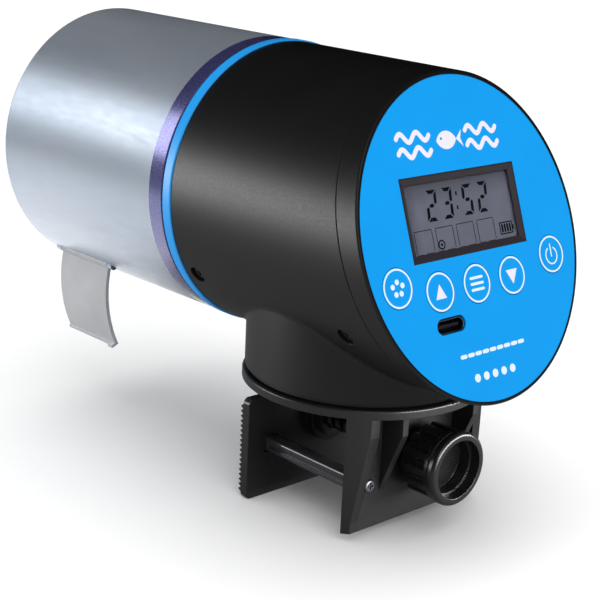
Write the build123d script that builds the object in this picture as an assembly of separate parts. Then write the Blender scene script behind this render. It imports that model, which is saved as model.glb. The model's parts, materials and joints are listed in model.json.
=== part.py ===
from build123d import *
from math import acos, cos, pi, radians, sin, tan
import os

# Automatic aquarium feeder: a round motor case with a slanted control panel, a clear food drum that
# the motor turns, and a screw clamp that grips the wall of a tank.
#
# Frame: +X is to the right seen from the front, +Y runs from the panel to the food drum, +Z is up.
# Origin: on the clamp's fixed face, in the middle, level with the underside of the guide rails,
# where the top edge of the tank's wall stops. All sizes are in millimetres.

# ---- driving dimensions ----------------------------------------------------------------------
CASE_R = 36.0            # outside radius of the motor case
CASE_WALL = 2.0
AXIS_Z = 62.6            # height of the drum's axis above the clamp's rail undersides
SWIVEL_Y = 18.1          # the case turns on the clamp about a vertical axis at this Y
PANEL_TILT = 20.0        # lean of the control panel, degrees from upright
PANEL_Y = -14.5          # where the panel crosses the drum's axis
CASE_END_Y = 50.7        # rear end of the case

COVER_LENGTH = 6.2       # length of the front cover along the drum's axis
SEAM_GAP = 0.25          # shadow gap between cover and case
OVERLAY_R = 35.0         # half width of the printed panel film
FILM_RECESS = 0.5        # depth of the recess that the film lies in
FILM_TOP = -0.1          # top of the film, below the cover's rim
COVER_FRONT_WALL = 2.5   # back of the cover's front wall, measured from the rim
PANEL_SHIFT = -1.5       # the display and the keys are printed this far off the middle

DISPLAY_W, DISPLAY_H, DISPLAY_V = 38.2, 19.0, 6.1
WINDOW_BORDER = 3.5      # how much smaller the visible window is than the display's opening
KEY_R, KEY_GAP, KEY_TRAVEL = 4.5, 0.12, 0.4
KEYS = {                 # place of each key on the panel: across, up
    "key_feed": (-26.9, -7.5),
    "key_up": (-14.2, -10.3),
    "key_set": (-2.0, -10.3),
    "key_down": (10.2, -10.3),
    "key_power": (25.3, -7.6),
}
USB_U, USB_V = -12.5, -18.0
USB_W, USB_H = 8.94, 3.26    # standard receptacle shell
USB_GAP, USB_MOUTH = 0.4, -0.5
PCB_TOP, PCB_THICK = -9.0, 1.2
PCB_POSTS = [(-20.0, 23.0), (20.0, 23.0), (-20.0, -20.0), (20.0, -20.0)]

RING_R, RING_WIDTH = 36.35, 3.0
DRUM_R, DRUM_WALL = 36.2, 1.6
DRUM_START_Y = CASE_END_Y + RING_WIDTH + 0.4
COLLAR_WIDTH = 5.0       # dark collar round the drum's mouth
DRUM_END_Y = 124.5
END_CAP = 1.4

HINGE_ANGLE = 34.8       # outlet hinge, degrees round the drum from straight down towards -X
OUTLET_END_ANGLE = -4.6  # the other side of the outlet
OUTLET_Y0, OUTLET_Y1 = 96.8, 119.0
HINGE_R = DRUM_R - 0.2   # the hinge pin's distance from the drum's axis
FLAP_OPEN = 68.5         # angle by which the flap hangs open
FLAP_THICK = 1.0

PEDESTAL_R, PEDESTAL_WALL = 29.4, 2.2
DISC_R, DISC_THICK = 30.0, 2.2
RAIL_HEIGHT = 4.0
DISC_Z = 19.6            # underside of the clamp's round top
SWIVEL_GAP = 0.4
CLAMP_BOTTOM = -9.4
PLATE_FRONT_Y, PLATE_BACK_Y = -2.2, -0.5
GRIP_HALF_WIDTH = 22.0   # the raised land below the rails that touches the tank
JAW_GAP = 30.7           # widest opening of the clamp
JAW_HALF_WIDTH = 26.0
SCREW_Z, SCREW_R = 6.0, 3.0
RAIL_X, RAIL_WIDTH, RAIL_SCREW_X = 18.0, 4.0, 17.2
KNOB_R, KNOB_FRONT_Y, KNOB_BACK_Y = 9.2, -15.5, -4.95

GEAR_MODULE, GEAR_TEETH, PINION_TEETH = 0.8, 48, 12
SHAFT_R = 3.0
BUSH_R, BUSH_FLANGE_R = 5.48, 7.0
FAR = 200.0              # longer than the whole object, for cutting tools

# ---- derived places --------------------------------------------------------------------------
TILT = radians(PANEL_TILT)
SEAM_W = -COVER_LENGTH * cos(TILT)
CASE_IN_R = CASE_R - CASE_WALL
DISC_TOP = DISC_Z + DISC_THICK
PEDESTAL_Z = DISC_TOP + SWIVEL_GAP
BASE_TOP = PEDESTAL_Z + 1.6
BULKHEAD_Y = CASE_END_Y - 3.0
MOTOR_PLATE_Y = 35.5
MOTOR_PLATE_THICK = 2.0
GEAR_Y = 40.0
GEAR_WIDTH = 4.0
MOTOR_Z = AXIS_Z + GEAR_MODULE * (GEAR_TEETH + PINION_TEETH) / 2
PANEL = Plane(origin=(0, PANEL_Y, AXIS_Z), x_dir=(1, 0, 0), z_dir=(0, -cos(TILT), sin(TILT)))
OUTWARD = Axis((0, 0, 0), (0, -cos(TILT), sin(TILT)))


# ---- small helpers ---------------------------------------------------------------------------
def bar_y(radius, y0, y1, x=0.0, z=AXIS_Z):
    """A round bar along Y."""
    return Pos(x, (y0 + y1) / 2, z) * Rot(90, 0, 0) * Cylinder(radius, y1 - y0)


def bar_z(radius, z0, z1, x=0.0, y=SWIVEL_Y):
    """An upright round bar."""
    return Pos(x, y, (z0 + z1) / 2) * Cylinder(radius, z1 - z0)


def tube_y(outer, inner, y0, y1, x=0.0, z=AXIS_Z):
    """A tube along Y."""
    return bar_y(outer, y0, y1, x, z) - bar_y(inner, y0 - 1, y1 + 1, x, z)


def block(x0, x1, y0, y1, z0, z1):
    """A box between two corners."""
    return Pos((x0 + x1) / 2, (y0 + y1) / 2, (z0 + z1) / 2) * Box(x1 - x0, y1 - y0, z1 - z0)


def panel_disc(radius, w0, w1, u=0.0, v=0.0):
    """A disc square to the panel: w is the height above the cover's rim."""
    return PANEL.location * Pos(u, v, (w0 + w1) / 2) * Cylinder(radius, w1 - w0)


def panel_box(width, height, w0, w1, u=0.0, v=0.0):
    """A box square to the panel."""
    return PANEL.location * Pos(u, v, (w0 + w1) / 2) * Box(width, height, w1 - w0)


def panel_slot(width, height, w0, w1, u=0.0, v=0.0):
    """A round-ended slot square to the panel."""
    return PANEL.location * Pos(u, v, w0) * extrude(SlotOverall(width, height), w1 - w0)


def panel_ellipse(half_width, w0, w1):
    """An oval square to the panel that matches a round bar cut at the panel's lean."""
    return PANEL.location * Pos(0, 0, w0) * extrude(Ellipse(half_width, half_width / cos(TILT)), w1 - w0)


def behind_panel(w):
    """Everything further back than w below the cover's rim."""
    return panel_box(FAR, FAR, w - FAR, w)


def radial_bar(radius, r0, r1, y, angle):
    """A round bar that points away from the drum's axis; angle is counted from +X towards +Z."""
    return (Pos(0, y, AXIS_Z) * Rot(0, -angle, 0) * Pos((r0 + r1) / 2, 0, 0)
            * Rot(0, 90, 0) * Cylinder(radius, r1 - r0))


def drum_point(radius, angle):
    """X and Z of a point round the drum; angle is counted from straight down towards -X."""
    return -radius * sin(radians(angle)), AXIS_Z - radius * cos(radians(angle))


def drum_sector(outer, inner, y0, y1, angle0, angle1):
    """A piece of drum wall between two angles."""
    corners = [(0, AXIS_Z)] + [drum_point(FAR, a) for a in (angle0, (angle0 + angle1) / 2, angle1)]
    wedge = Pos(0, y1, 0) * extrude(Plane.XZ * make_face(Polyline(*corners, close=True)), y1 - y0)
    return tube_y(outer, inner, y0, y1) & wedge


def profile_x(points, x0, x1):
    """A flat outline in Y and Z, stretched from x0 to x1."""
    return Pos(x0, 0, 0) * extrude(Plane.YZ * make_face(Polyline(*points, close=True)), x1 - x0)


def pan_screw(head_r, head_h, shank_r, length):
    """A small cross-head screw: the head stands on z = 0 and the shank points down."""
    head = Pos(0, 0, head_h / 2) * Cylinder(head_r, head_h)
    head = fillet(head.edges().group_by(Axis.Z)[-1], head_h * 0.45)
    cross = Pos(0, 0, head_h) * (Box(head_r, head_r * 0.25, head_h) + Box(head_r * 0.25, head_r, head_h))
    return head + Pos(0, 0, -length / 2) * Cylinder(shank_r, length) - cross


def save(name, shape):
    """Write one piece, or one group of like pieces, as its own file."""
    shape.label = name
    export_step(shape, f"parts/{name}.step")


# ---- case --------------------------------------------------------------------------------------
COVER_SCREW_Y, COVER_SCREW_ANGLES = -4.2, (180 + 36, -36)
REAR_SCREW_Y, REAR_SCREW_ANGLES = 46.0, (180 + 31, -31)
SCREW_SEAT_R, SCREW_RECESS_R = CASE_R - 1.5, 2.3


def body_shell():
    tube = bar_y(CASE_R, -FAR / 2, CASE_END_Y)
    column = bar_z(PEDESTAL_R, PEDESTAL_Z + 0.9, AXIS_Z - CASE_R / 2) - bar_y(CASE_IN_R, -FAR / 2, FAR)
    foot = bar_z(PEDESTAL_R - 0.7, PEDESTAL_Z, PEDESTAL_Z + 0.9)
    shell = tube + column + foot
    joint_line = [e for e in shell.edges() if e.geom_type == GeomType.BSPLINE
                  and e.bounding_box().min.Z < AXIS_Z - CASE_R * 0.3]
    shell = fillet(joint_line, 2.0)
    shell -= bar_y(CASE_IN_R, -FAR, FAR)
    hollow = bar_z(PEDESTAL_R - PEDESTAL_WALL, PEDESTAL_Z - 1, AXIS_Z - CASE_R / 2)
    shell -= hollow - bar_y(CASE_R, -FAR, FAR)
    shell &= behind_panel(SEAM_W - SEAM_GAP)
    for x in (-1, 1):
        post = bar_z(3.0, BASE_TOP, AXIS_Z - CASE_R / 2, x * 17.0)
        shell += post - bar_y(CASE_R - 1.0, -FAR, FAR)
        shell -= bar_z(1.25, BASE_TOP - 1, BASE_TOP + 6.5, x * 17.0)
    for y, angles in ((COVER_SCREW_Y, COVER_SCREW_ANGLES), (REAR_SCREW_Y, REAR_SCREW_ANGLES)):
        for angle in angles:
            shell -= radial_bar(SCREW_RECESS_R, SCREW_SEAT_R, CASE_R + 5, y, angle)
            shell -= radial_bar(1.05, CASE_IN_R - 1, CASE_R, y, angle)
    return shell


def pedestal_base():
    """The plate that closes the pedestal and turns on the clamp."""
    plate = bar_z(PEDESTAL_R - PEDESTAL_WALL - 0.1, PEDESTAL_Z, BASE_TOP)
    plate -= bar_z(4.06, PEDESTAL_Z - 1, BASE_TOP + 1)
    for x in (-1, 1):
        plate -= bar_z(1.4, PEDESTAL_Z - 1, BASE_TOP + 1, x * 17.0)
        plate -= bar_z(2.6, PEDESTAL_Z - 1, PEDESTAL_Z + 1.0, x * 17.0)
    return plate


def base_screws():
    """Two countersunk-flush screws that hold the pedestal's plate to the posts inside."""
    screw = pan_screw(2.4, 0.9, 1.2, 6.5)
    return Compound([Pos(x * 17.0, SWIVEL_Y, PEDESTAL_Z + 1.0) * Rot(180, 0, 0) * screw for x in (-1, 1)])


def case_screws():
    """The four small screws in the sides of the case."""
    screw = pan_screw(1.9, 0.8, 0.95, 2.6)
    placed = []
    for y, angles in ((COVER_SCREW_Y, COVER_SCREW_ANGLES), (REAR_SCREW_Y, REAR_SCREW_ANGLES)):
        for angle in angles:
            seat = Pos(0, y, AXIS_Z) * Rot(0, -angle, 0) * Pos(SCREW_SEAT_R, 0, 0) * Rot(0, 90, 0)
            placed.append(seat * screw)
    return Compound(placed)


def front_cover():
    inner_r = CASE_IN_R - 1.6
    rim = bar_y(CASE_R, -FAR / 2, FAR / 2) & panel_box(FAR, FAR, SEAM_W, 0)
    front_edge = rim.edges().sort_by(OUTWARD)[-1]
    rim = fillet(front_edge, 0.5)
    skirt = bar_y(CASE_IN_R - 0.15, -FAR / 2, FAR / 2) & panel_box(FAR, FAR, SEAM_W - 3.2, SEAM_W)
    cover = rim + skirt
    cover -= bar_y(inner_r, -FAR / 2, FAR / 2) & behind_panel(-COVER_FRONT_WALL)
    cover -= panel_ellipse(OVERLAY_R + 0.1, -FILM_RECESS, 1)
    cover -= panel_box(DISPLAY_W, DISPLAY_H, -FAR / 2, 1, PANEL_SHIFT, DISPLAY_V)
    for u, v in KEYS.values():
        cover -= panel_disc(KEY_R + KEY_GAP, -FAR / 10, 1, u, v)
        cover -= panel_disc(KEY_R + 1.05, -FAR / 10, -COVER_FRONT_WALL, u, v)
    cover -= panel_slot(USB_W + USB_GAP, USB_H + USB_GAP, -FAR / 10, 1, USB_U, USB_V)
    for u, v in PCB_POSTS:
        post = panel_disc(2.6, PCB_TOP, -COVER_FRONT_WALL + 0.1, u, v)
        cover += post - panel_disc(0.95, PCB_TOP - 1, -4.5, u, v)
    for angle in COVER_SCREW_ANGLES:
        lug = (Pos(0, 0, AXIS_Z) * Rot(0, -angle, 0)
               * block(inner_r - 0.8, CASE_R, -40, COVER_SCREW_Y + 2.7, -4, 4))
        lug &= tube_y(CASE_IN_R - 0.15, inner_r - 0.8, -40, 10) & behind_panel(SEAM_W + 0.5)
        cover += lug
        cover -= radial_bar(1.0, inner_r - 3, CASE_R, COVER_SCREW_Y, angle)
    return cover


def panel_film():
    """The blue printed film, with openings for the display, the keys and the charging port."""
    film = panel_ellipse(OVERLAY_R, -FILM_RECESS, FILM_TOP)
    film -= panel_box(DISPLAY_W, DISPLAY_H, -5, 5, PANEL_SHIFT, DISPLAY_V)
    for u, v in KEYS.values():
        film -= panel_disc(KEY_R + KEY_GAP, -5, 5, u, v)
    return film - panel_slot(USB_W + USB_GAP, USB_H + USB_GAP, -5, 5, USB_U, USB_V)


def display_parts():
    """Bezel, lens, glass panel and backlight of the display, from front to back."""
    spot = (PANEL_SHIFT, DISPLAY_V)
    rim_w, slope_w, back_w = FILM_TOP, -0.7, -1.3
    window = (DISPLAY_W - WINDOW_BORDER, DISPLAY_H - WINDOW_BORDER)
    bezel = panel_box(DISPLAY_W - 0.1, DISPLAY_H - 0.1, back_w, rim_w, *spot)
    mouth = loft([
        PANEL.location * Pos(*spot, rim_w + 0.01) * Rectangle(DISPLAY_W - 0.7, DISPLAY_H - 0.7),
        PANEL.location * Pos(*spot, slope_w) * Rectangle(*window),
    ])
    pocket = panel_box(DISPLAY_W - 2.4, DISPLAY_H - 2.4, back_w - 1, slope_w, *spot)
    save("display_bezel", bezel - mouth - pocket)
    save("display_lens", panel_box(DISPLAY_W - 2.5, DISPLAY_H - 2.5, back_w + 0.1, slope_w, *spot))
    save("display_glass", panel_box(DISPLAY_W - 0.6, DISPLAY_H - 0.4, -3.2, back_w, *spot))
    save("display_backlight", panel_box(DISPLAY_W - 0.6, DISPLAY_H - 0.4, PCB_TOP, -3.2, *spot))


def key(u, v):
    """One key: a round cap with a flange behind the cover and a stem for the switch."""
    cap = panel_disc(KEY_R, -3.3, 0.0, u, v)
    cap = fillet(cap.edges().sort_by(OUTWARD)[-1], 0.15)
    flange = panel_disc(KEY_R + 0.75, -3.3, -2.55, u, v)
    stem = panel_disc(2.0, -4.1, -3.3, u, v)
    return cap + flange + stem


def tact_switches():
    """The five small switches under the keys."""
    placed = []
    for u, v in KEYS.values():
        base = panel_box(4.5, 4.5, PCB_TOP, PCB_TOP + 3.4, u, v)
        placed.append(base + panel_disc(1.6, PCB_TOP + 3.4, PCB_TOP + 4.4, u, v))
    return Compound(placed)


def usb_port():
    """Metal shell and plastic tongue of the charging inlet."""
    wall = 0.3
    shell = panel_slot(USB_W, USB_H, PCB_TOP, USB_MOUTH, USB_U, USB_V)
    shell -= panel_slot(USB_W - 2 * wall, USB_H - 2 * wall, PCB_TOP + 1.2, 1, USB_U, USB_V)
    save("usb_shell", shell)
    save("usb_tongue", panel_box(6.7, 0.7, PCB_TOP + 1.2, USB_MOUTH - 0.8, USB_U, USB_V))


def circuit_board():
    board = panel_disc(CASE_R, PCB_TOP - PCB_THICK, PCB_TOP) & bar_y(31.3, -FAR, FAR)
    for u, v in PCB_POSTS:
        board -= panel_disc(1.0, PCB_TOP - 5, PCB_TOP + 1, u, v)
    return board


def board_screws():
    screw = pan_screw(1.9, 1.2, 0.9, 4.8)
    seat = PCB_TOP - PCB_THICK
    return Compound([PANEL.location * Pos(u, v, seat) * Rot(180, 0, 0) * screw for u, v in PCB_POSTS])


def trim_ring():
    """The blue ring between the case and the drum."""
    ring = tube_y(RING_R, CASE_IN_R - 0.1, CASE_END_Y, CASE_END_Y + RING_WIDTH)
    return fillet(ring.edges().filter_by(GeomType.CIRCLE).sort_by(SortBy.RADIUS)[-2:], 0.35)


POSTS = [(29.0 * cos(radians(a)), AXIS_Z + 29.0 * sin(radians(a))) for a in (30, 150, 270)]


def rear_bulkhead():
    """The wall at the back of the case, with three posts for the motor's plate."""
    wall = bar_y(CASE_IN_R - 0.1, BULKHEAD_Y, CASE_END_Y)
    wall += tube_y(CASE_IN_R - 0.1, CASE_IN_R - 3.2, BULKHEAD_Y - 6.4, BULKHEAD_Y)
    for x, z in POSTS:
        wall += bar_y(2.6, MOTOR_PLATE_Y + MOTOR_PLATE_THICK, BULKHEAD_Y, x, z)
        wall -= bar_y(1.25, MOTOR_PLATE_Y, MOTOR_PLATE_Y + 9, x, z)
    for angle in REAR_SCREW_ANGLES:
        wall -= radial_bar(1.0, CASE_IN_R - 5, CASE_R, REAR_SCREW_Y, angle)
    return wall - bar_y(5.5, BULKHEAD_Y - 1, CASE_END_Y + 1)


def motor_plate():
    plate = bar_y(CASE_IN_R - 0.4, MOTOR_PLATE_Y, MOTOR_PLATE_Y + MOTOR_PLATE_THICK)
    for x, z in POSTS:
        plate -= bar_y(1.35, 0, FAR, x, z)
    plate -= bar_y(5.5, 0, FAR)
    return plate - bar_y(3.0, 0, FAR, 0, MOTOR_Z)


def plate_screws():
    screw = pan_screw(2.3, 1.4, 1.2, 8.0)
    return Compound([Pos(x, MOTOR_PLATE_Y, z) * Rot(90, 0, 0) * screw for x, z in POSTS])


def shaft_bushes():
    """Two flanged bushes that carry the drum's shaft."""
    plate_back = MOTOR_PLATE_Y + MOTOR_PLATE_THICK
    front = bar_y(BUSH_R, MOTOR_PLATE_Y, plate_back) + bar_y(BUSH_FLANGE_R, plate_back, plate_back + 0.8)
    rear = bar_y(BUSH_R, BULKHEAD_Y, CASE_END_Y) + bar_y(BUSH_FLANGE_R, BULKHEAD_Y - 0.8, BULKHEAD_Y)
    bore = bar_y(SHAFT_R + 0.05, 0, FAR)
    return Compound([front - bore, rear - bore])


def gear(teeth, width, bore, turn):
    """A spur gear along Y with involute teeth and a little backlash."""
    pressure, backlash, steps = radians(20), 0.12, 5
    pitch_r = teeth * GEAR_MODULE / 2
    base_r, tip_r, root_r = pitch_r * cos(pressure), pitch_r + GEAR_MODULE, pitch_r - 1.25 * GEAR_MODULE
    start_r = max(base_r, root_r)
    half = pi / (2 * teeth) - backlash / (2 * pitch_r) + tan(pressure) - pressure
    flank = []
    for i in range(steps):
        r = start_r + (tip_r - start_r) * i / (steps - 1)
        roll = acos(base_r / r)
        flank.append((r, half - tan(roll) + roll))
    side = [(root_r, flank[0][1])] + flank if root_r < start_r else flank
    outline = []
    for tooth in range(teeth):
        centre = radians(turn) + 2 * pi * tooth / teeth
        outline += [(r * cos(centre - a), r * sin(centre - a)) for r, a in side]
        outline += [(r * cos(centre + a), r * sin(centre + a)) for r, a in reversed(side)]
    blank = extrude(make_face(Polyline(*outline, close=True)), width)
    return Rot(-90, 0, 0) * (blank - Cylinder(bore, 3 * width))


def drive_gear():
    wheel = Pos(0, GEAR_Y, AXIS_Z) * gear(GEAR_TEETH, GEAR_WIDTH, SHAFT_R, 0)
    hub = tube_y(6.0, SHAFT_R, GEAR_Y + GEAR_WIDTH, GEAR_Y + GEAR_WIDTH + 2.5)
    for k in range(6):
        a = radians(60 * k)
        wheel -= bar_y(3.2, 0, FAR, 11.5 * cos(a), AXIS_Z + 11.5 * sin(a))
    return wheel + hub


def motor_pinion():
    return Pos(0, GEAR_Y - 0.5, MOTOR_Z) * gear(PINION_TEETH, GEAR_WIDTH + 1, 1.0, 180 / PINION_TEETH)


def motor_parts():
    """Can, gearbox and output shaft of the drum's motor."""
    back = MOTOR_PLATE_Y
    box = block(-7.5, 7.5, back - 9, back, MOTOR_Z - 7.5, MOTOR_Z + 6.0)
    nose = bar_y(2.9, back, back + 2.6, 0, MOTOR_Z)
    save("motor_gearbox", box + nose - bar_y(1.05, back - 4, back + 5, 0, MOTOR_Z))
    can = bar_y(6.0, back - 24, back - 9, 0, MOTOR_Z)
    can &= block(-8, 8, 0, FAR, MOTOR_Z - 5.0, MOTOR_Z + 5.0)
    save("motor_can", can)
    save("motor_shaft", bar_y(1.0, back - 3.9, GEAR_Y + GEAR_WIDTH + 1, 0, MOTOR_Z))


def battery_parts():
    bottom = AXIS_Z - 25.0
    cell = block(-17, 17, 2, 31, bottom, bottom + 8)
    save("battery_cell", fillet(cell.edges().filter_by(Axis.Y), 1.5))
    tray = block(-18.5, 18.5, 0.5, MOTOR_PLATE_Y, bottom - 1.4, bottom)
    for x0, x1 in ((-18.5, -17.1), (17.1, 18.5)):
        tray += block(x0, x1, 0.5, MOTOR_PLATE_Y, bottom, bottom + 4)
    save("battery_tray", tray + block(-18.5, 18.5, 0.5, 1.9, bottom, bottom + 4))


# ---- food drum -----------------------------------------------------------------------------------
PIN_R = 0.5
HINGE_X, HINGE_Z = drum_point(HINGE_R, HINGE_ANGLE)
KNUCKLE_R, KNUCKLE_LENGTH = 1.1, 2.0
DRUM_IN_R = DRUM_R - DRUM_WALL


def drum_collar():
    """The dark, mirror-like band bonded round the mouth of the drum."""
    collar = tube_y(DRUM_R, DRUM_IN_R, DRUM_START_Y, DRUM_START_Y + COLLAR_WIDTH)
    return fillet(collar.edges().group_by(Axis.Y)[0].sort_by(SortBy.RADIUS)[-1], 0.3)


def food_drum():
    inner_r = DRUM_IN_R
    wall = tube_y(DRUM_R, inner_r, DRUM_START_Y + COLLAR_WIDTH, DRUM_END_Y - END_CAP)
    for y0 in (OUTLET_Y0 - KNUCKLE_LENGTH, OUTLET_Y1):
        wall += bar_y(KNUCKLE_R, y0, y0 + KNUCKLE_LENGTH, HINGE_X, HINGE_Z) - bar_y(inner_r, 0, FAR)
    wall -= drum_sector(DRUM_R + 3, inner_r - 3, OUTLET_Y0, OUTLET_Y1, OUTLET_END_ANGLE, HINGE_ANGLE + 2.4)
    return wall - bar_y(PIN_R + 0.02, OUTLET_Y0 - 3, OUTLET_Y1 + 3, HINGE_X, HINGE_Z)


def drum_end_cap():
    cap = bar_y(DRUM_R, DRUM_END_Y - END_CAP, DRUM_END_Y)
    cap = fillet(cap.edges().sort_by(Axis.Y)[-1], 0.6)
    lip_r = DRUM_IN_R - 0.05
    return cap + tube_y(lip_r, lip_r - 1.3, DRUM_END_Y - END_CAP - 1.6, DRUM_END_Y - END_CAP)


def drum_coupler():
    """The dark driving plate in the mouth of the drum."""
    outer_r = DRUM_IN_R - 0.05
    plate = bar_y(outer_r, DRUM_START_Y + 0.2, DRUM_START_Y + 2.0)
    plate += tube_y(outer_r, outer_r - 2.4, DRUM_START_Y + 2.0, DRUM_START_Y + 4.0)
    plate += bar_y(7.0, DRUM_START_Y + 2.0, DRUM_START_Y + 6.0)
    return plate - bar_y(SHAFT_R, 0, DRUM_START_Y + 5.0)


def drum_seal():
    outer_r = DRUM_IN_R - 0.05
    return tube_y(outer_r, outer_r - 1.8, DRUM_START_Y + 4.0, DRUM_START_Y + 5.2)


def drive_shaft():
    return bar_y(SHAFT_R, MOTOR_PLATE_Y - 0.8, DRUM_START_Y + 5.0)


def outlet_flap():
    """The outlet's door, cut from the drum's curve and hung open on its hinge."""
    outer_r = DRUM_R
    y0, y1 = OUTLET_Y0 + 0.2, OUTLET_Y1 - 0.2
    lip0, lip1 = OUTLET_END_ANGLE + 0.5, OUTLET_END_ANGLE + 1.6
    door = drum_sector(outer_r, outer_r - FLAP_THICK, y0, y1, lip0, HINGE_ANGLE)
    door += bar_y(KNUCKLE_R, y0, y1, HINGE_X, HINGE_Z)
    door += drum_sector(outer_r + 0.5, outer_r - 0.1, y0, y1, lip0, lip1)
    door += drum_sector(outer_r + 1.2, outer_r - 0.1, y0, y0 + 2.0, lip0, lip1)
    door -= bar_y(PIN_R + 0.05, 0, FAR, HINGE_X, HINGE_Z)
    about_pin = Pos(HINGE_X, 0, HINGE_Z) * Rot(0, FLAP_OPEN, 0) * Pos(-HINGE_X, 0, -HINGE_Z)
    return about_pin * door


def flap_pin():
    return bar_y(PIN_R, OUTLET_Y0 - KNUCKLE_LENGTH, OUTLET_Y1 + KNUCKLE_LENGTH, HINGE_X, HINGE_Z)


# ---- clamp ---------------------------------------------------------------------------------------
def clamp_bracket():
    """Round top, fixed front plate with curved side walls and two ribs, in one moulding."""
    disc = bar_z(DISC_R, DISC_Z, DISC_TOP)
    disc = fillet(disc.edges().sort_by(Axis.Z)[-1], 0.5)
    column = bar_z(DISC_R, CLAMP_BOTTOM, DISC_Z)
    plate = column & block(-FAR, FAR, PLATE_FRONT_Y, PLATE_BACK_Y, CLAMP_BOTTOM, DISC_Z)
    plate += block(-GRIP_HALF_WIDTH, GRIP_HALF_WIDTH, PLATE_BACK_Y, 0, CLAMP_BOTTOM, 0)
    wall = column - bar_z(DISC_R - 1.8, CLAMP_BOTTOM - 1, DISC_Z + 1)
    wall &= profile_x([(PLATE_BACK_Y, DISC_Z), (-4.8, DISC_Z), (-4.8, DISC_Z - 4.8), (-1.9, CLAMP_BOTTOM),
                       (PLATE_BACK_Y, CLAMP_BOTTOM)], -FAR, FAR)
    bracket = disc + plate + wall
    rib = [(PLATE_FRONT_Y, DISC_Z), (-8.9, DISC_Z), (-8.9, DISC_Z - 4.4), (PLATE_FRONT_Y, -0.6)]
    for side in (-1, 1):
        middle = side * 12.3
        bracket += profile_x(rib, middle - 0.9, middle + 0.9)
        bracket -= bar_y(1.0, -5, 5, side * RAIL_SCREW_X, RAIL_HEIGHT / 2)
        bracket -= bar_y(1.9, -5, PLATE_FRONT_Y, side * RAIL_SCREW_X, RAIL_HEIGHT / 2)
    bracket += bar_y(5.6, -4.4, PLATE_FRONT_Y, 0, SCREW_Z)
    bracket -= bar_y(SCREW_R + 0.08, -10, 5, 0, SCREW_Z)
    bracket -= bar_z(4.05, DISC_Z - 1, DISC_TOP + 1)
    return bracket - bar_z(6.4, DISC_Z - 1, DISC_Z + 1.2)


def guide_rails():
    """The two rails that the jaw slides on."""
    rails = []
    for side in (-1, 1):
        x = side * RAIL_X
        rail = block(x - RAIL_WIDTH / 2, x + RAIL_WIDTH / 2, PLATE_BACK_Y, JAW_GAP + 2.4, 0, RAIL_HEIGHT)
        rail = fillet(rail.edges().filter_by(Axis.Y), 0.8)
        outside = x + side * RAIL_WIDTH / 2
        rail -= block(outside - 0.5, outside + 0.5, 2, JAW_GAP - 1, 1.3, 2.7)
        rails.append(rail - bar_y(0.85, -1, 9, side * RAIL_SCREW_X, RAIL_HEIGHT / 2))
    return Compound(rails)


def rail_screws():
    screw = pan_screw(1.7, 1.3, 0.8, 9.0)
    seats = [Pos(side * RAIL_SCREW_X, PLATE_FRONT_Y, RAIL_HEIGHT / 2) for side in (-1, 1)]
    return Compound([seat * Rot(90, 0, 0) * screw for seat in seats])


def swivel_parts():
    """Bolt, bearing washer and nut that let the case turn on the clamp."""
    bolt = bar_z(6.2, DISC_Z + 0.1, DISC_Z + 1.2) + bar_z(4.0, DISC_Z + 1.2, BASE_TOP + 0.1)
    bolt += bar_z(3.0, BASE_TOP + 0.1, BASE_TOP + 2.5)
    hexagon = Pos(0, SWIVEL_Y, DISC_Z) * extrude(RegularPolygon(2.2, 6), 0.9)
    save("swivel_bolt", bolt - hexagon)
    save("swivel_washer", bar_z(14.0, DISC_TOP, PEDESTAL_Z) - bar_z(4.05, 0, FAR))
    nut = Pos(0, SWIVEL_Y, BASE_TOP + 0.1) * extrude(RegularPolygon(6.6, 6), 2.2)
    save("swivel_nut", nut - bar_z(3.0, 0, FAR))


def clamp_jaw():
    """The sliding jaw: a plate with a toothed back and a stepped boss for the screw."""
    top, bottom, thick, teeth = DISC_Z - 4.6, CLAMP_BOTTOM - 2.1, 2.2, 18
    plate = block(-JAW_HALF_WIDTH, JAW_HALF_WIDTH, JAW_GAP, JAW_GAP + thick, bottom, top)
    plate = fillet(plate.edges().filter_by(Axis.Y), 1.6)
    step = (top - bottom - 3.2) / teeth
    back, tooth_depth = JAW_GAP + thick, 0.9
    outline = [(back - 0.4, bottom + 1.6)]
    for i in range(teeth):
        low = bottom + 1.6 + i * step
        outline += [(back, low), (back + tooth_depth, low + step / 2)]
    outline += [(back, top - 1.6), (back - 0.4, top - 1.6)]
    jaw = plate + profile_x(outline, -JAW_HALF_WIDTH, JAW_HALF_WIDTH)
    jaw += bar_y(6.6, JAW_GAP - 2.4, JAW_GAP, 0, SCREW_Z) + bar_y(5.0, JAW_GAP - 4.0, JAW_GAP, 0, SCREW_Z)
    jaw -= bar_y(SCREW_R + 0.08, 0, FAR, 0, SCREW_Z)
    for side in (-1, 1):
        x, half = side * RAIL_X, RAIL_WIDTH / 2 + 0.15
        jaw -= block(x - half, x + half, 0, FAR, -0.15, RAIL_HEIGHT + 0.15)
    return jaw


def clamp_screw():
    return bar_y(SCREW_R, KNOB_FRONT_Y + 7.2, JAW_GAP + 5.0, 0, SCREW_Z)


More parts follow.
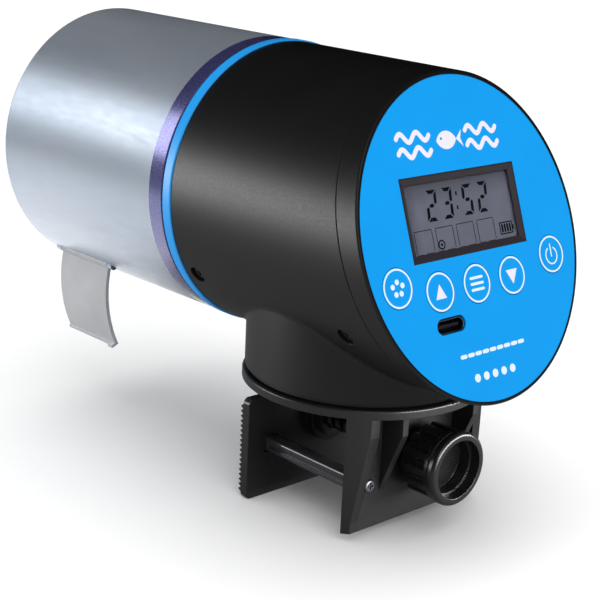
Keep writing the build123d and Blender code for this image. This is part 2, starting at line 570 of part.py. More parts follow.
def clamp_knob():
    """The hollow fluted knob."""
    rim = bar_y(KNOB_R, KNOB_FRONT_Y, KNOB_FRONT_Y + 2.8, 0, SCREW_Z)
    rim = fillet(rim.edges().filter_by(GeomType.CIRCLE), 1.0)
    grip = bar_y(KNOB_R - 0.4, KNOB_FRONT_Y + 1.4, KNOB_BACK_Y, 0, SCREW_Z)
    flutes = 14
    for k in range(flutes):
        a = 2 * pi * (k + 0.5) / flutes
        x, z = (KNOB_R - 0.1) * cos(a), SCREW_Z + (KNOB_R - 0.1) * sin(a)
        grip -= bar_y(1.15, KNOB_FRONT_Y + 3.6, 0, x, z)
    knob = rim + grip
    knob -= bar_y(7.3, KNOB_FRONT_Y - 1, KNOB_FRONT_Y + 2.8, 0, SCREW_Z)
    knob -= bar_y(6.8, KNOB_FRONT_Y, KNOB_FRONT_Y + 6.0, 0, SCREW_Z)
    return knob - bar_y(SCREW_R, KNOB_FRONT_Y + 7.2, 0, 0, SCREW_Z)


def screw_fittings():
    """Washer in front of the plate and clip behind it, which keep the screw in place."""
    save("knob_washer", tube_y(5.6, SCREW_R + 0.08, -4.9, -4.4, 0, SCREW_Z))
    save("screw_clip", tube_y(5.0, SCREW_R, PLATE_BACK_Y + 0.06, PLATE_BACK_Y + 0.86, 0, SCREW_Z))


# ---- write every piece ---------------------------------------------------------------------------
os.makedirs("parts", exist_ok=True)
PIECES = (body_shell, pedestal_base, base_screws, case_screws, front_cover, panel_film, tact_switches,
          circuit_board, board_screws, trim_ring, rear_bulkhead, motor_plate, plate_screws,
          shaft_bushes, drive_gear, motor_pinion, drum_collar, food_drum, drum_end_cap, drum_coupler,
          drum_seal, drive_shaft, outlet_flap, flap_pin, clamp_bracket, guide_rails, rail_screws, clamp_jaw,
          clamp_screw, clamp_knob)
for piece in PIECES:
    save(piece.__name__, piece())
for name, (u, v) in KEYS.items():
    save(name, key(u, v))
for group in (display_parts, usb_port, motor_parts, battery_parts, swivel_parts, screw_fittings):
    group()
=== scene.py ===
import json
from math import cos, pi, radians, sin

import bpy
from mathutils import Matrix, Vector

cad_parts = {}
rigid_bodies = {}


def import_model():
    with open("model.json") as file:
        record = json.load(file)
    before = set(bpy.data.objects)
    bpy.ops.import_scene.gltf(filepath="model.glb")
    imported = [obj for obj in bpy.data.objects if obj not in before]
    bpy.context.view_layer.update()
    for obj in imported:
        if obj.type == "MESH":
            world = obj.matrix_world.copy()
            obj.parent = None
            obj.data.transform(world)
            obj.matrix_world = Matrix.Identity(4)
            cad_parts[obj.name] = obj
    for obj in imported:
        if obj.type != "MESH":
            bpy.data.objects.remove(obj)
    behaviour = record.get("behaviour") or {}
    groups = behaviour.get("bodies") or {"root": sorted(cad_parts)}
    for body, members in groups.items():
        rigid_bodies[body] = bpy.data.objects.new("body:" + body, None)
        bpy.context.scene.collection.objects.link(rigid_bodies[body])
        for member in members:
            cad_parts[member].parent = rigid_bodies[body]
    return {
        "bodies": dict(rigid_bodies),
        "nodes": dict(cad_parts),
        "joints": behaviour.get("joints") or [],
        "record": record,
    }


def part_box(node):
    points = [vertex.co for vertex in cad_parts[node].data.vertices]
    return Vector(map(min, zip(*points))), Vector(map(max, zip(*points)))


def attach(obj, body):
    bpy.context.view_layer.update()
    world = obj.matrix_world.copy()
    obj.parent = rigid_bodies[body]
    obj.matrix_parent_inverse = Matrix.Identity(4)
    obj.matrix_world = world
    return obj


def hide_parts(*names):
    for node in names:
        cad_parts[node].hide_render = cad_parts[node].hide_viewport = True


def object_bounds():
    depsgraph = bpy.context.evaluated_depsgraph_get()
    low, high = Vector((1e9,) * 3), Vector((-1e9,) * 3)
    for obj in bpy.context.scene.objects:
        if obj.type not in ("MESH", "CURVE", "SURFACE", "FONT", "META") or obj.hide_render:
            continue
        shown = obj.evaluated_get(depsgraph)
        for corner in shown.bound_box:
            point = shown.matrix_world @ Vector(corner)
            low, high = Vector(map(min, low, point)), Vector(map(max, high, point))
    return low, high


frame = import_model()
cad_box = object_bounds()

# Automatic aquarium feeder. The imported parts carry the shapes; this script gives them their finishes and
# adds the printed panel, the display's segments, the clamp screw's thread, the lights and the camera.

MM = 0.001


def into_scene(name, data):
    """A new object with that data, linked to the scene."""
    made = bpy.data.objects.new(name, data)
    bpy.context.scene.collection.objects.link(made)
    return made


# ---- colour and shader helpers -------------------------------------------------------------------
def srgb(red, green, blue):
    """A screen colour, 0 to 255, as linear RGBA."""
    def linear(value):
        value /= 255
        return value / 12.92 if value <= 0.04045 else ((value + 0.055) / 1.055) ** 2.4
    return linear(red), linear(green), linear(blue), 1.0


def shade(colour, factor):
    """The same colour, lighter or darker."""
    return tuple(min(1.0, c * factor) for c in colour[:3]) + (1.0,)


class Nodes:
    """Short names for building one material's node tree."""

    MIX_SHARE, MIX_FIRST, MIX_SECOND, MIX_RESULT = 0, 6, 7, 2      # a Mix node's sockets for colours

    def __init__(self, name):
        self.material = bpy.data.materials.new(name)
        self.material.use_nodes = True
        self.tree = self.material.node_tree
        self.shader = self.tree.nodes["Principled BSDF"]

    def add(self, kind, **settings):
        """A new node. Each setting is one of its properties or one of its sockets."""
        node = self.tree.nodes.new("ShaderNode" + kind)
        for key, value in settings.items():
            if hasattr(node, key):
                setattr(node, key, value)
            else:
                node.inputs[key.replace("_", " ")].default_value = value
        return node

    def link(self, source, target):
        self.tree.links.new(source, target)

    def feed(self, **sources):
        """Links outputs to the shader's sockets."""
        for key, source in sources.items():
            self.link(source, self.shader.inputs[key.replace("_", " ")])

    def hold(self, **values):
        """Sets plain values on the shader's own sockets."""
        for key, value in values.items():
            self.shader.inputs[key.replace("_", " ")].default_value = value

    def coords(self, stretch=(1, 1, 1)):
        """Object coordinates, which stay with the piece when it moves."""
        place = self.add("Mapping", Scale=stretch)
        self.link(self.add("TexCoord").outputs["Object"], place.inputs["Vector"])
        return place.outputs["Vector"]

    def noise(self, vector, size, detail=3.0):
        """Noise whose blotches are about size millimetres across."""
        node = self.add("TexNoise", Scale=1 / (size * MM), Detail=detail)
        self.link(vector, node.inputs["Vector"])
        return node.outputs["Fac"]

    def ranged(self, value, low, high, start=0.3, end=0.7):
        """A value stretched from start..end to low..high."""
        node = self.add("MapRange", From_Min=start, From_Max=end, To_Min=low, To_Max=high)
        self.link(value, node.inputs["Value"])
        return node.outputs["Result"]

    def product(self, first, second):
        node = self.add("Math", operation="MULTIPLY")
        self.link(first, node.inputs[0])
        self.link(second, node.inputs[1])
        return node.outputs[0]

    def mixed(self, share, first, second):
        """Two colours, mixed by share. Each is a colour or another node's output."""
        node = self.add("Mix", data_type="RGBA")
        self.link(share, node.inputs[self.MIX_SHARE])
        for socket, colour in ((self.MIX_FIRST, first), (self.MIX_SECOND, second)):
            if isinstance(colour, tuple):
                node.inputs[socket].default_value = colour
            else:
                self.link(colour, node.inputs[socket])
        return node.outputs[self.MIX_RESULT]

    def edges(self, radius):
        """Normal of edges rounded to radius millimetres, and a mask that is high on them."""
        bevel = self.add("Bevel", samples=6, Radius=radius * MM)
        facing = self.add("VectorMath", operation="DOT_PRODUCT")
        self.link(bevel.outputs["Normal"], facing.inputs[0])
        self.link(self.add("NewGeometry").outputs["Normal"], facing.inputs[1])
        return bevel.outputs["Normal"], self.ranged(facing.outputs["Value"], 1.0, 0.0, 0.82, 0.99)

    def relief(self, height, depth, normal=None):
        """Bump of the given depth in millimetres, on top of another normal if there is one."""
        bump = self.add("Bump", Distance=depth * MM)
        self.link(height, bump.inputs["Height"])
        if normal is not None:
            self.link(normal, bump.inputs["Normal"])
        self.feed(Normal=bump.outputs["Normal"])


def finish(name, colour, rough, drift=0.08, grain=0.35, relief=0.004, rough_spread=0.05, edge=0.0,
           wear_and_highlight=1.6, stretch=(1, 1, 1), **sockets):
    """A moulded, turned or painted surface. Its colour drifts a little, its roughness and its fine relief
    follow a grain of that size in millimetres, and edges are rounded by edge and made paler by
    wear_and_highlight: partly rubbed wear, partly a painted highlight along the edges."""
    made = Nodes(name)
    place = made.coords(stretch)
    broad = made.ranged(made.noise(place, 14), 0, 1)
    tint = made.mixed(broad, shade(colour, 1 - drift), shade(colour, 1 + drift))
    fine = made.noise(place, grain, 4)
    normal = None
    if edge:
        normal, on_edge = made.edges(edge)
        # the paler edges are partly rubbed wear and partly a painted highlight along the edges
        rubbed_and_highlit = made.product(on_edge, made.ranged(made.noise(place, 3), 0.35, 1))
        tint = made.mixed(rubbed_and_highlit, tint, shade(colour, wear_and_highlight))
    made.feed(Base_Color=tint, Roughness=made.ranged(fine, rough - rough_spread, rough + rough_spread))
    made.relief(fine, relief, normal)
    made.hold(**sockets)
    return made.material


def brushed(name, colour, rough=0.28, stretch=(1, 1, 1)):
    """Metal with fine lines, drawn out along one direction by stretch."""
    return finish(name, colour, rough, drift=0.06, grain=0.12, relief=0.002, rough_spread=0.08,
                  edge=0.12, wear_and_highlight=1.25, stretch=stretch, Metallic=1.0)


# ---- finishes --------------------------------------------------------------------------------------
BLUE = srgb(2, 146, 223)
BLACK = srgb(16, 16, 17)
STEEL = srgb(176, 178, 182)


def drum_finish():
    """Smoky blue-grey plastic with a satin shine, slightly see-through and greyer in broad soft streaks."""
    made = Nodes("drum_smoke")
    place = made.coords((1, 0.25, 1))
    streak = made.ranged(made.noise(place, 30, 2), 0, 1)
    fine = made.noise(place, 1.2, 4)
    made.feed(Base_Color=made.mixed(streak, srgb(130, 142, 156), srgb(156, 162, 171)),
              Roughness=made.ranged(fine, 0.36, 0.44))
    made.relief(fine, 0.002)
    made.hold(Metallic=0.5, Transmission_Weight=0.3, IOR=1.5)
    return made.material


def collar_finish():
    """Dark violet-blue mirror-like band with a fine speckle."""
    made = Nodes("collar_violet")
    place = made.coords()
    broad = made.ranged(made.noise(place, 18, 2), 0, 1)
    colour = made.mixed(broad, srgb(66, 64, 112), srgb(44, 52, 100))
    speckle = made.ranged(made.noise(place, 0.5, 4), 0.0, 0.3)
    fine = made.noise(place, 0.4, 4)
    made.feed(Base_Color=made.mixed(speckle, colour, srgb(112, 106, 146)),
              Roughness=made.ranged(fine, 0.2, 0.34))
    made.relief(fine, 0.003)
    made.hold(Metallic=0.6, Coat_Weight=0.3, Coat_Roughness=0.2)
    return made.material


def display_finish():
    """The display's grey glass, with painted shade from the bezel that darkens it towards its top and its
    left edge.
    """
    made = Nodes("display_grey_with_painted_shade")
    low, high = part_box("display_glass")
    shaded_down, shaded_across = 6 * MM, 5 * MM
    place = made.add("SeparateXYZ")
    made.link(made.coords(), place.inputs["Vector"])
    down = made.ranged(place.outputs["Z"], 0.0, 1.0, high.z, high.z - shaded_down)
    across = made.ranged(place.outputs["X"], 0.0, 1.0, low.x, low.x + shaded_across)
    cloud = made.ranged(made.noise(made.coords(), 5), 0, 1)
    clear = made.mixed(cloud, srgb(98, 101, 113), srgb(106, 109, 121))
    fine = made.noise(made.coords(), 0.3, 3)
    # painted shade: the glass is mixed towards a dark grey near its top and its left edge, where the bezel's
    # shadow falls
    made.feed(Base_Color=made.mixed(made.product(down, across), srgb(58, 58, 70), clear),
              Roughness=made.ranged(fine, 0.3, 0.42))
    made.relief(fine, 0.001)
    return made.material


def board_finish():
    """Green solder mask with raised tracks."""
    made = Nodes("board_green")
    tracks = made.add("TexBrick", Scale=260.0, Color1=srgb(14, 84, 48), Color2=srgb(18, 96, 54),
                      Mortar=srgb(40, 130, 76))
    made.link(made.coords(), tracks.inputs["Vector"])
    made.feed(Base_Color=tracks.outputs["Color"],
              Roughness=made.ranged(made.noise(made.coords(), 1.0), 0.25, 0.4))
    made.relief(tracks.outputs["Fac"], 0.03)
    return made.material


FINISHES = {
    "case_plastic": finish("case_black", BLACK, 0.42, edge=0.25, wear_and_highlight=2.2, Specular_IOR_Level=0.42),
    "clamp_plastic": finish("clamp_black", srgb(20, 20, 21), 0.32, edge=0.3, wear_and_highlight=2.6),
    "knob_plastic": finish("knob_black", srgb(16, 16, 17), 0.26, edge=0.3, wear_and_highlight=2.4, grain=0.25),
    "rail_plastic": finish("rail_gloss", srgb(58, 59, 62), 0.2, edge=0.2, Metallic=0.55, Coat_Weight=0.3),
    "film": finish("film_blue", BLUE, 0.42, drift=0.02, grain=0.2, relief=0.001, Specular_IOR_Level=0.1),
    "key_film": finish("key_blue", BLUE, 0.4, drift=0.02, grain=0.2, relief=0.001, Specular_IOR_Level=0.1),
    "bezel": finish("bezel_dark", srgb(44, 39, 46), 0.38, edge=0.15, wear_and_highlight=1.8),
    "lens": finish("lens_clear", (0.96, 0.97, 1.0, 1.0), 0.04, drift=0.01, relief=0.0002,
                   rough_spread=0.02, Transmission_Weight=1.0, IOR=1.05, Specular_IOR_Level=0.1),
    "lcd": display_finish(),
    "backlight": finish("backlight_white", srgb(232, 234, 238), 0.5),
    "board": board_finish(),
    "switch_body": finish("switch_black", srgb(34, 34, 36), 0.45, edge=0.1),
    "metal_port": brushed("port_nickel", srgb(206, 208, 214), 0.22),
    "port_tongue": finish("tongue_black", srgb(30, 30, 44), 0.4),
    "steel": brushed("plain_steel", STEEL, stretch=(1, 8, 1)),
    "screw_steel": brushed("screw_zinc", srgb(120, 121, 125), 0.34),
    "screw_black": brushed("screw_dark", srgb(66, 66, 68), 0.36),
    "motor_metal": brushed("motor_can_satin", srgb(196, 198, 202), 0.3, stretch=(1, 6, 1)),
    "gearbox": finish("gearbox_white", srgb(226, 226, 220), 0.42, edge=0.15, wear_and_highlight=1.1),
    "gear_acetal": finish("acetal_white", srgb(236, 236, 230), 0.36, edge=0.1, wear_and_highlight=1.05),
    "bush_brass": brushed("bush_bronze", srgb(188, 150, 92), 0.35),
    "nylon": finish("nylon_natural", srgb(230, 228, 218), 0.5, Subsurface_Weight=0.1),
    "cell": brushed("cell_foil", srgb(178, 181, 188), 0.3, stretch=(6, 1, 1)),
    "tray": finish("tray_black", srgb(36, 36, 38), 0.5, edge=0.2),
    "ring_blue": finish("ring_blue_satin", srgb(0, 134, 206), 0.4, drift=0.03, relief=0.001,
                        rough_spread=0.03, edge=0.2, wear_and_highlight=1.2),
    "drum_clear": drum_finish(),
    "flap_clear": finish("flap_smoke", srgb(190, 192, 196), 0.22, relief=0.002, edge=0.2, wear_and_highlight=1.15,
                         Transmission_Weight=0.35, IOR=1.49),
    "collar": collar_finish(),
    "coupler": finish("coupler_navy", srgb(40, 44, 92), 0.3, edge=0.2),
    "seal": finish("seal_rubber", srgb(46, 46, 48), 0.7, grain=0.2),
}
for part in frame["record"]["subparts"]:
    node = frame["nodes"][part["node"]]
    node.data.materials.clear()
    node.data.materials.append(FINISHES[part["material_slot"]])


def ink(name, colour, **sockets):
    """Flat print, even in colour."""
    return finish(name, colour, 0.5, grain=0.15, relief=0.001, **sockets)


INK_WHITE = ink("ink_white", srgb(212, 228, 242), drift=0.02)
INK_PEARL = ink("ink_pearl", srgb(222, 219, 232), drift=0.02)
SEGMENT_BLACK = ink("segment_black", srgb(8, 8, 16), drift=0.1, Specular_IOR_Level=0.05)


# ---- the slanted panel -------------------------------------------------------------------------------
ACROSS = Vector((1, 0, 0))
OUT = -Vector(next(j for j in frame["joints"] if j["name"] == "key_set_press")["axis"])
UP = OUT.cross(ACROSS)
SAME_LEVEL = 0.01 * MM       # points this close in height are on one face


def spread(node, direction):
    """Lowest and highest reach of a CAD node along a direction, in metres."""
    reach = [vertex.co.dot(direction) for vertex in frame["nodes"][node].data.vertices]
    return min(reach), max(reach)


def top_middle(node):
    """Middle of the face that a CAD node turns outwards from the panel."""
    top = spread(node, OUT)[1]
    face = [v.co for v in frame["nodes"][node].data.vertices if v.co.dot(OUT) > top - SAME_LEVEL]
    middle = [(min(p.dot(d) for p in face) + max(p.dot(d) for p in face)) / 2 for d in (ACROSS, UP)]
    return ACROSS * middle[0] + UP * middle[1] + OUT * top


def outline_mesh(name, outlines, thick, origin):
    """A thin plate on the panel, drawn in millimetres across and up; an outline inside another is a hole."""
    curve = bpy.data.curves.new(name, "CURVE")
    curve.dimensions, curve.fill_mode, curve.extrude = "2D", "BOTH", thick / 2
    for points in outlines:
        spline = curve.splines.new("POLY")
        spline.points.add(len(points) - 1)
        for point, (x, y) in zip(spline.points, points):
            point.co = (x, y, 0, 1)
        spline.use_cyclic_u = True
    drawn = into_scene(name, curve)
    bpy.context.view_layer.update()
    mesh = bpy.data.meshes.new_from_object(drawn.evaluated_get(bpy.context.evaluated_depsgraph_get()))
    bpy.data.objects.remove(drawn)
    turn = Matrix((ACROSS, UP, OUT)).transposed().to_4x4()
    lift = Matrix.Translation((0, 0, thick / 2))
    mesh.transform(Matrix.Translation(origin) @ turn @ Matrix.Scale(MM, 4) @ lift)
    mesh.name = name
    return mesh


def printed(name, outlines, colour, origin, body, thick=0.03):
    """One printed or laid-on flat piece that rides with a body."""
    piece = into_scene(name, outline_mesh(name, outlines, thick, origin))
    piece.data.materials.clear()
    piece.data.materials.append(colour)
    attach(piece, body)


# ---- flat shapes, in millimetres -----------------------------------------------------------------------
def arc(radius, start, end, x=0.0, y=0.0, steps=48):
    """Points along an arc, angles in degrees."""
    turns = [radians(start + (end - start) * i / steps) for i in range(steps + 1)]
    return [(x + radius * cos(a), y + radius * sin(a)) for a in turns]


def circle(radius, x=0.0, y=0.0, steps=64):
    return arc(radius, 0, 360 * (steps - 1) / steps, x, y, steps - 1)


def ring(radius, width, x=0.0, y=0.0):
    """Two outlines with the ink between them."""
    return [circle(radius + width / 2, x, y), circle(radius - width / 2, x, y)]


def ribbon(path, width):
    """The outline of a line of that width along a path, with round ends."""
    half, left, right = width / 2, [], []
    for i, (x, y) in enumerate(path):
        before, after = path[max(i - 1, 0)], path[min(i + 1, len(path) - 1)]
        along = Vector((after[0] - before[0], after[1] - before[1])).normalized()
        left.append((x - along.y * half, y + along.x * half))
        right.append((x + along.y * half, y - along.x * half))
    heading = [Vector((b[0] - a[0], b[1] - a[1])).angle_signed(Vector((1, 0)))
               for a, b in ((path[0], path[1]), (path[-2], path[-1]))]
    start, end = (h * 180 / pi for h in heading)
    far_cap = arc(half, end + 90, end - 90, *path[-1], steps=8)[1:-1]
    near_cap = arc(half, start - 90, start - 270, *path[0], steps=8)[1:-1]
    return left + far_cap + right[::-1] + near_cap


def dash(x, y, length, width):
    """A level line from x, y to the right."""
    return ribbon([(x, y), (x + length, y)], width)


def box_outline(x0, x1, y0, y1):
    return [(x0, y0), (x1, y0), (x1, y1), (x0, y1)]


def moved(outline, x, y):
    return [(px + x, py + y) for px, py in outline]


def wave(x0, x1, y, swing=1.0, length=5.2, steps=40):
    """A wavy line's path."""
    xs = [x0 + (x1 - x0) * i / steps for i in range(steps + 1)]
    return [(x, y + swing * sin(2 * pi * (x - x0) / length)) for x in xs]


def fish(x, y, size):
    """A plain fish: a pointed oval with a forked tail and an eye left open."""
    back = arc(size, 155, 25, x, y - 0.42 * size, 20)
    belly = arc(size, -25, -155, x, y + 0.42 * size, 20)
    tail = [(x + 1.5 * size, y + 0.55 * size), (x + 1.3 * size, y), (x + 1.5 * size, y - 0.55 * size)]
    return [back + tail + belly, circle(0.1 * size, x - 0.45 * size, y + 0.12 * size, 20)]


# ---- print on the film and the keys ---------------------------------------------------------------------
film_top = spread("panel_film", OUT)[1]
film_up = sum(spread("panel_film", UP)) / 2
FILM_MIDDLE = UP * film_up + OUT * film_top


def on_film(name, outlines, colour=INK_WHITE):
    printed(name, outlines, colour, FILM_MIDDLE, "case")


MARK_Y = 22.6
WAVE_SPANS, WAVE_RISES, WAVE_WIDTH = ((-19.0, -8.6), (3.4, 13.8)), (-1.8, 1.6), 1.15
FISH_X, FISH_SIZE = -3.2, 3.6
waves = [ribbon(wave(x0, x1, MARK_Y + rise), WAVE_WIDTH) for x0, x1 in WAVE_SPANS for rise in WAVE_RISES]
on_film("panel_mark", waves + fish(FISH_X, MARK_Y, FISH_SIZE), INK_PEARL)

DASHES, DASH_X, DASH_Y, DASH_PITCH, DASH_LENGTH, DASH_WIDTH = 9, -11.2, -25.6, 2.45, 1.3, 0.9
DOTS, DOT_X, DOT_Y, DOT_PITCH, DOT_R = 5, -7.4, -31.0, 3.0, 0.95
caption = [dash(DASH_X + DASH_PITCH * i, DASH_Y, DASH_LENGTH, DASH_WIDTH) for i in range(DASHES)]
caption += [circle(DOT_R, DOT_X + DOT_PITCH * i, DOT_Y, 32) for i in range(DOTS)]
on_film("panel_caption", caption)

KEY_RING_R, KEY_RING_WIDTH = 4.14, 0.42
FOOD = ((-1.5, 0.5), (0.0, 1.4), (1.5, 0.5), (-0.8, -1.2), (0.8, -1.2))
ICONS = {
    "key_feed": [circle(0.62, x, y, 28) for x, y in FOOD],
    "key_up": [[(-1.75, -1.55), (1.75, -1.55), (0.0, 1.75)]],
    "key_set": [dash(-1.9, y, 3.8, 0.62) for y in (-1.35, 0.0, 1.35)],
    "key_down": [[(-1.95, 1.35), (0.0, -2.05), (1.95, 1.35)]],
    "key_power": [ribbon(arc(2.0, 122, 418, 0, -0.3), 0.36), ribbon([(0, -0.5), (0, 2.35)], 0.36)],
}
for key, icon in ICONS.items():
    icon_ink = INK_PEARL if key in ("key_up", "key_down") else INK_WHITE
    printed(f"print_{key}", icon, icon_ink, top_middle(key), key)
    printed(f"ring_{key}", ring(KEY_RING_R, KEY_RING_WIDTH), INK_WHITE, top_middle(key), key)


# ---- the display's segments -----------------------------------------------------------------------------
glass_across, glass_up = (sum(spread("display_glass", d)) / 2 for d in (ACROSS, UP))
GLASS_MIDDLE = ACROSS * glass_across + UP * glass_up + OUT * spread("display_glass", OUT)[1]


def on_glass(name, outlines):
    printed(name, outlines, SEGMENT_BLACK, GLASS_MIDDLE, "case", 0.02)


DIGIT_W, DIGIT_H, SEGMENT_W, SEGMENT_GAP, DIGIT_LEAN = 3.4, 7.0, 0.86, 0.22, 0.09
SEGMENTS = {2: "abged", 3: "abgcd", 5: "afgcd"}       # the bars that each digit lights


def segment(letter):
    """One bar of a seven-segment digit, whose lower left corner is at 0, 0."""
    w, h, t, gap, mid = DIGIT_W, DIGIT_H, SEGMENT_W, SEGMENT_GAP, DIGIT_H / 2
    level = [(gap, h), (w - gap, h), (w - t - gap, h - t), (t + gap, h - t)]
    upright = [(w, h - gap), (w, mid + 0.62 * t), (w - 0.45 * t, mid + 0.22 * t), (w - t, mid + 0.6 * t),
               (w - t, h - t - gap)]
    centre = [(0.26 * w, mid), (0.38 * w, mid + t / 2), (0.62 * w, mid + t / 2), (0.74 * w, mid),
              (0.62 * w, mid - t / 2), (0.38 * w, mid - t / 2)]
    shapes = {
        "a": level, "d": [(x, h - y) for x, y in level], "g": centre,
        "b": upright, "c": [(x, h - y) for x, y in upright],
        "f": [(w - x, y) for x, y in upright], "e": [(w - x, h - y) for x, y in upright],
    }
    return [(x + DIGIT_LEAN * y, y) for x, y in shapes[letter]]


CLOCK = ((2, -11.0), (3, -5.9), (5, 0.9), (2, 6.0))   # each digit and its left edge
CLOCK_Y = -0.9
COLON_LEFT, COLON_W, COLON_H, COLON_RISES = -1.15, 0.5, 0.85, (1.7, 4.9)
clock = [moved(segment(letter), x, CLOCK_Y) for number, x in CLOCK for letter in SEGMENTS[number]]
for y in (CLOCK_Y + rise for rise in COLON_RISES):
    x0 = COLON_LEFT + DIGIT_LEAN * y
    clock.append(box_outline(x0, x0 + COLON_W, y, y + COLON_H))
on_glass("clock_segments", clock)

MEALS, BOX_W, BOX_H, BOX_PITCH, BOX_LEFT, BOX_TOP = 4, 5.8, 5.4, 6.9, -16.3, -2.4
LINE, CORNER_GAP, FOOT_SPANS = 0.17, 0.35, ((0.0, 0.36), (0.5, 0.94))
DONE_RIGHT, DONE_UP, DONE_RING_R, DONE_R = 1.3, 1.5, 0.95, 0.34      # the ringed dot in the second box
foot, side_low, side_high = BOX_TOP - BOX_H, BOX_TOP - BOX_H + CORNER_GAP, BOX_TOP - CORNER_GAP
meals = []
for x0 in (BOX_LEFT + BOX_PITCH * k for k in range(MEALS)):
    x1 = x0 + BOX_W
    meals.append(box_outline(x0, x1, BOX_TOP - LINE, BOX_TOP))
    meals += [box_outline(x, x + LINE, side_low, side_high) for x in (x0, x1 - LINE)]
    meals += [box_outline(x0 + a * BOX_W, x0 + b * BOX_W, foot, foot + LINE) for a, b in FOOT_SPANS]
done_x, done_y = BOX_LEFT + BOX_PITCH + DONE_RIGHT, foot + DONE_UP
meals += ring(DONE_RING_R, DONE_R, done_x, done_y)
meals.append(circle(DONE_R, done_x, done_y, 24))
on_glass("meal_boxes", meals)

CELL_W, CELL_H, CELL_RIM = 4.5, 2.9, 0.3
TIP_X0, TIP_X1, TIP_Y0, TIP_Y1 = CELL_W + 0.02, CELL_W + 0.4, 0.8, 1.9
BARS, BAR_X, BAR_W, BAR_PITCH, BAR_INSET = 4, 0.62, 0.6, 0.9, 0.5
battery = [box_outline(0, CELL_W, 0, CELL_H),
           box_outline(CELL_RIM, CELL_W - CELL_RIM, CELL_RIM, CELL_H - CELL_RIM),
           box_outline(TIP_X0, TIP_X1, TIP_Y0, TIP_Y1)]
battery += [box_outline(x, x + BAR_W, BAR_INSET, CELL_H - BAR_INSET)
            for x in (BAR_X + BAR_PITCH * i for i in range(BARS))]
on_glass("battery_level", [moved(outline, 11.9, -6.9) for outline in battery])


# ---- the clamp screw with its thread ---------------------------------------------------------------------
def threaded_rod(name, node, pitch, depth, around=40, along=10):
    """A rod along Y with one right-hand thread cut into it, as long and as thick as the CAD rod."""
    low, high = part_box(node)
    middle, radius = (low + high) / 2, (high.x - low.x) / 2
    flank, crest = 2.6, 0.25
    rings = int((high.y - low.y) / pitch * along)
    points, faces = [], []
    for i in range(rings + 1):
        y = low.y + (high.y - low.y) * i / rings
        fade = min(1.0, (y - low.y) / pitch, (high.y - y) / pitch)
        for j in range(around):
            turn = 2 * pi * j / around
            phase = (y / pitch - j / around) % 1.0
            cut = min(1.0, max(0.0, flank * abs(phase - 0.5) - crest)) * depth * fade
            points.append((middle.x + (radius - cut) * cos(turn), y, middle.z - (radius - cut) * sin(turn)))
    for i in range(rings):
        for j in range(around):
            k = (j + 1) % around
            faces.append((i * around + j, (i + 1) * around + j, (i + 1) * around + k, i * around + k))
    faces.append(tuple(range(around)))
    faces.append(tuple(reversed(range(rings * around, (rings + 1) * around))))
    mesh = bpy.data.meshes.new(name)
    mesh.from_pydata(points, [], faces)
    mesh.update()
    mesh.shade_smooth()
    return into_scene(name, mesh)


rod = threaded_rod("threaded_screw", "clamp_screw", 3 * MM, 0.55 * MM)
rod.data.materials.append(FINISHES["screw_black"])
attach(rod, "thumb_screw")
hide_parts("clamp_screw")


# ---- floor, lights and camera ------------------------------------------------------------------------------
def floor():
    """A wide pale floor under the lowest part of the object. It is dimmer where the object mirrors it."""
    half, below = 6.0, 0.02 * MM
    corners = [(-half, -half), (half, -half), (half, half), (-half, half)]
    mesh = bpy.data.meshes.new("floor")
    mesh.from_pydata([(x, y, cad_box[0].z - below) for x, y in corners], [], [(0, 1, 2, 3)])
    made = Nodes("floor_white")
    mottle = made.ranged(made.noise(made.coords(), 60), 0, 1)
    pale = made.mixed(mottle, (0.9, 0.9, 0.9, 1), (0.92, 0.92, 0.92, 1))
    mirrored = made.add("LightPath").outputs["Is Glossy Ray"]
    made.feed(Base_Color=made.mixed(mirrored, pale, (0.3, 0.3, 0.3, 1)))
    made.hold(Roughness=0.9, Specular_IOR_Level=0.1)
    mesh.materials.append(made.material)
    into_scene("floor", mesh)


def area_light(name, target, direction, distance, width, height, power, bodies=None):
    """A soft box off from target in a direction, and facing it. With bodies, it lights only those."""
    lamp = bpy.data.lights.new(name, "AREA")
    lamp.shape, lamp.size, lamp.size_y = "RECTANGLE", width, height
    lamp.energy = power
    box = into_scene(name, lamp)
    away = Vector(direction).normalized()
    box.location = target + away * distance
    box.rotation_euler = away.to_track_quat("Z", "Y").to_euler()
    box.visible_camera = False
    if bodies:
        lit = bpy.data.collections.new(name + "_lit")
        for body in bodies:
            for node in frame["record"]["behaviour"]["bodies"][body]:
                lit.objects.link(frame["nodes"][node])
        box.light_linking.receiver_collection = lit


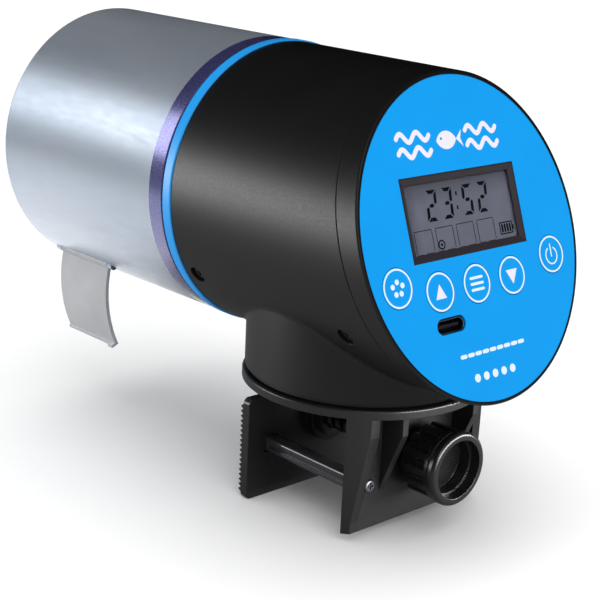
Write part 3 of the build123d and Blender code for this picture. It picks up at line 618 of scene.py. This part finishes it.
def lighting():
    """Soft boxes for the drum, the clamp, the case and the panel, a wide sun overhead and a white sky. The
    sun and the sky only light the object, and don't show in its shine."""
    middle = (cad_box[0] + cad_box[1]) / 2
    under_drum = Vector((-0.08, 0.26, 0))
    drum_bodies = ("drum", "flap")
    other_bodies = [body for body in frame["bodies"] if body not in drum_bodies]
    area_light("drum_box", middle, (-0.63, 0.68, 0.34), 0.9, 0.5, 0.34, 4.4, drum_bodies)
    area_light("drum_low_box", under_drum, (0, 0, -1), 0.008, 0.36, 0.28, 0.62, ("drum",))
    area_light("low_box", middle, (0.45, -1, 0), 0.45, 0.6, 0.16, 7, ("clamp", "jaw", "thumb_screw"))
    area_light("side_box", middle, (-0.72, 0.68, 0.02), 0.6, 0.36, 0.24, 2.5, other_bodies)
    area_light("front_box", middle, (-0.35, -0.9, 0.75), 1.1, 0.8, 0.8, 3)
    sky = bpy.data.lights.new("overhead", "SUN")
    sky.energy, sky.angle = 1.2, radians(60)
    into_scene("overhead", sky).visible_glossy = False
    world = bpy.data.worlds.new("studio")
    bpy.context.scene.world = world
    world.use_nodes = True
    background = world.node_tree.nodes["Background"]
    background.inputs["Color"].default_value = (1.0, 1.0, 1.0, 1.0)
    background.inputs["Strength"].default_value = 0.8
    world.cycles_visibility.glossy = False


def camera():
    """The camera looks at the object from its left, a little above, and is rolled slightly."""
    azimuth, elevation, roll = radians(-43.22), radians(16.92), radians(2.66)
    distance, shift_right, shift_down = 340.47 * MM, 39.4 * MM, 14.2 * MM
    back = Vector((sin(azimuth) * cos(elevation), -cos(azimuth) * cos(elevation), sin(elevation)))
    level_right = Vector((0, 0, 1)).cross(back).normalized()
    level_up = back.cross(level_right)
    right = level_right * cos(roll) + level_up * sin(roll)
    up = level_up * cos(roll) - level_right * sin(roll)
    panel_middle = UP * film_up + OUT * spread("front_cover", OUT)[1]
    place = panel_middle - right * shift_right - up * shift_down + back * distance
    view = bpy.data.cameras.new("camera")
    view.lens, view.sensor_width = 90.5, 36.0
    view.clip_start, view.clip_end = 0.01, 20.0
    eye = into_scene("camera", view)
    eye.matrix_world = Matrix.Translation(place) @ Matrix((right, up, back)).transposed().to_4x4()
    bpy.context.scene.camera = eye


floor()
lighting()
camera()
bpy.context.scene.view_settings.view_transform = "Standard"
